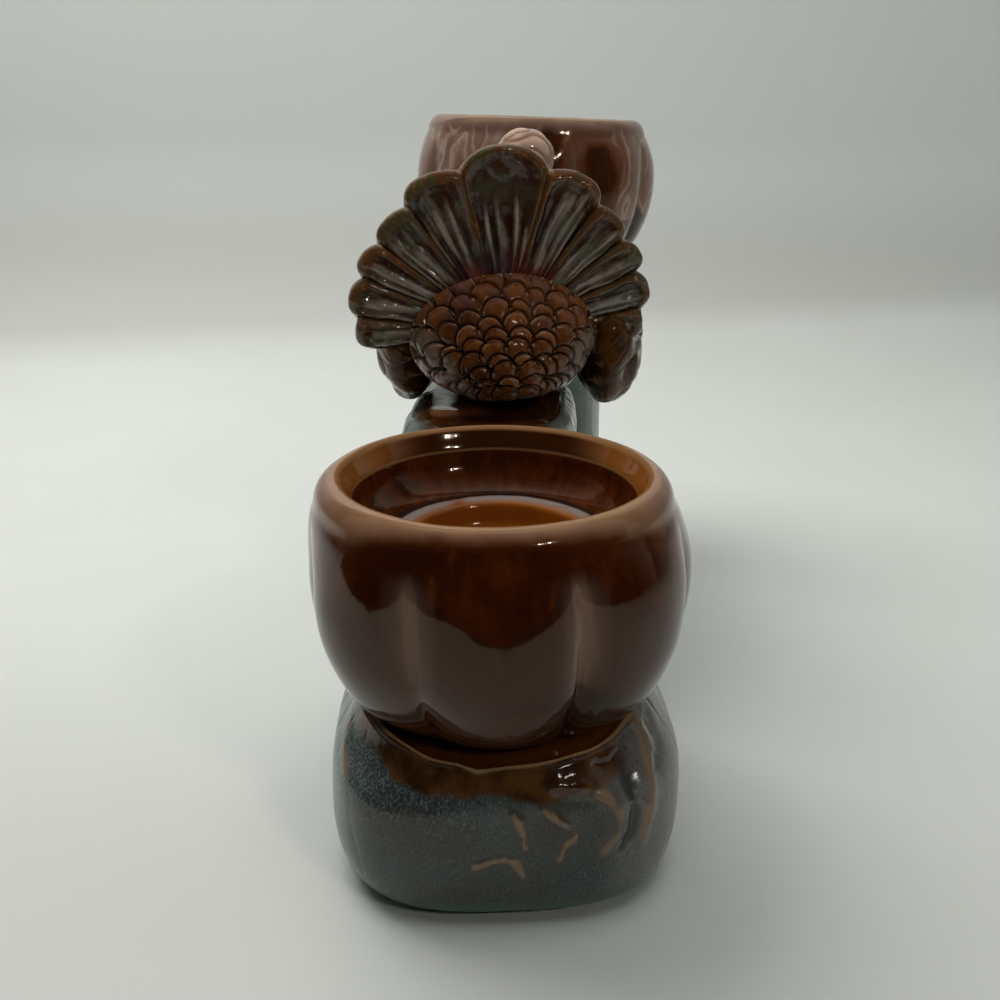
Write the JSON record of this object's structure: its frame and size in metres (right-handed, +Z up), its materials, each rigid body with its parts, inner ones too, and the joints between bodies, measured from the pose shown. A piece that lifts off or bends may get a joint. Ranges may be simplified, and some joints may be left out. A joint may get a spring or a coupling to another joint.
{
  "type": "candle holder",
  "caption": "Glazed ceramic centrepiece: a strutting turkey on a bark log between a low and a high pumpkin cup, each with a recess for a tealight.",
  "frame": {"origin": "on the underside that rests on the table, at the middle of the overall length and width", "axes": "+Z up, +Y from the low cup to the high cup along the line of their axes, +X to the right of that"},
  "size_m": [0.0995, 0.299, 0.1793],
  "materials": {
    "brown_glaze": "gloss",
    "amber_glaze": "gloss",
    "mauve_glaze": "gloss",
    "bark_glaze": "gloss",
    "fan_glaze": "gloss",
    "plumage_glaze": "gloss",
    "flesh_glaze": "gloss"
  },
  "bodies": {
    "root": {"front_stump": "bark_glaze", "middle_stump": "bark_glaze", "rear_stump": "bark_glaze", "front_pumpkin_shell": "brown_glaze", "front_candle_cup": "amber_glaze", "rear_pumpkin_shell": "mauve_glaze", "rear_candle_cup": "amber_glaze", "turkey_body": "plumage_glaze", "left_wing": "plumage_glaze", "right_wing": "plumage_glaze", "left_leg": "plumage_glaze", "right_leg": "plumage_glaze", "turkey_neck": "flesh_glaze", "turkey_head": "flesh_glaze", "beak": "amber_glaze", "snood": "flesh_glaze", "wattle": "flesh_glaze", "rump_feathers": "plumage_glaze", "tail_root": "plumage_glaze", "tail_feather_01": "fan_glaze", "tail_feather_02": "fan_glaze", "tail_feather_03": "fan_glaze", "tail_feather_04": "fan_glaze", "tail_feather_05": "fan_glaze", "tail_feather_06": "fan_glaze", "tail_feather_07": "fan_glaze", "tail_feather_08": "fan_glaze", "tail_feather_09": "fan_glaze", "tail_feather_10": "fan_glaze", "tail_feather_11": "fan_glaze"}
  },
  "joints": []
}
